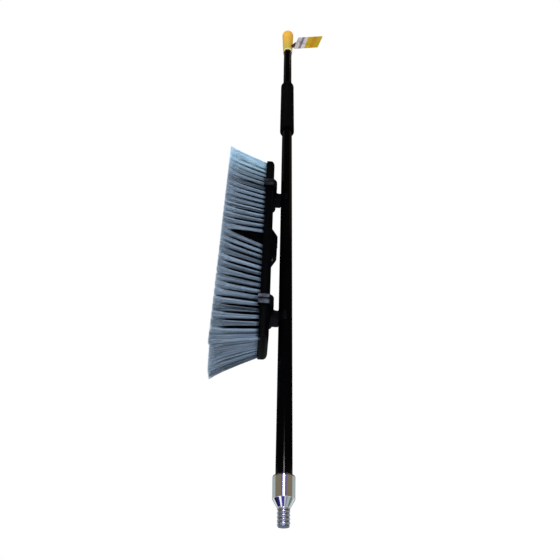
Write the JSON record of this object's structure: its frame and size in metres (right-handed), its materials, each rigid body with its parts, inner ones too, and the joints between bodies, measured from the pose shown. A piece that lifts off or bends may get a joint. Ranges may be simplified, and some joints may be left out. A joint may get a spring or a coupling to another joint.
{
  "type": "wide floor broom",
  "caption": "Wide floor broom: telescopic threaded pole with a twist grip, and a flagged-bristle head clipped along it.",
  "frame": {"origin": "middle of the flat end face of the threaded tip, on the pole's axis", "axes": "+Z along the pole towards the end cap; -X from the pole towards the head, the way its bristles point; +Y to the right of someone who looks along -X"},
  "size_m": [0.2354, 0.118, 1.508],
  "materials": {
    "black_paint": "gloss",
    "cast_zinc": "satin",
    "chrome": "polished",
    "black_plastic": "satin",
    "navy_plastic": "satin",
    "grip_rubber": "matte",
    "yellow_plastic": "satin",
    "tag_card": "matte",
    "red_strap": "matte",
    "pale_fibre": "matte",
    "black_fibre": "matte"
  },
  "bodies": {
    "outer_pole": {"outer_tube": "black_paint", "threaded_tip": "cast_zinc", "tip_ferrule": "chrome", "lock_collet": "black_plastic"},
    "twist_grip": {"grip_sleeve": "grip_rubber", "lock_nut": "black_plastic"},
    "pole_slider": {"inner_bush": "black_plastic"},
    "inner_pole": {"inner_tube": "black_paint", "end_cap": "yellow_plastic", "hang_tag": "tag_card", "tag_tab": "red_strap"},
    "broom_head": {"head_block": "black_plastic", "handle_socket": "navy_plastic", "socket_screw_lower": "cast_zinc", "socket_screw_upper": "cast_zinc", "front_bristles_lower": "pale_fibre", "front_bristles_upper": "pale_fibre", "rear_bristles_lower": "pale_fibre", "rear_bristles_upper": "pale_fibre", "inner_bristles_lower": "black_fibre", "inner_bristles_upper": "black_fibre"},
    "clip_lower": {"lower_clip": "black_plastic"},
    "clip_upper": {"upper_clip": "black_plastic"}
  },
  "joints": [
    {"name": "grip_twist", "type": "hinge", "parent": "outer_pole", "child": "twist_grip", "pos_m": [0, 0, 1.07], "axis": [0, 0, 1], "range_deg": [0, 90]},
    {"name": "pole_telescope", "type": "slide", "parent": "outer_pole", "child": "pole_slider", "axis": [0, 0, 1], "range_m": [0, 0.9]},
    {"name": "inner_spin", "type": "hinge", "parent": "pole_slider", "child": "inner_pole", "pos_m": [0, 0, 0.1], "axis": [0, 0, 1], "continuous": true},
    {"name": "head_swivel", "type": "hinge", "parent": "outer_pole", "child": "broom_head", "pos_m": [0, 0, 0.5265], "axis": [0, 0, 1], "continuous": true},
    {"name": "lower_clip_slide", "type": "slide", "parent": "broom_head", "child": "clip_lower", "axis": [0, 0, 1], "range_m": [-0.053, 0.111]},
    {"name": "upper_clip_slide", "type": "slide", "parent": "broom_head", "child": "clip_upper", "axis": [0, 0, 1], "range_m": [-0.099, 0.066]}
  ]
}
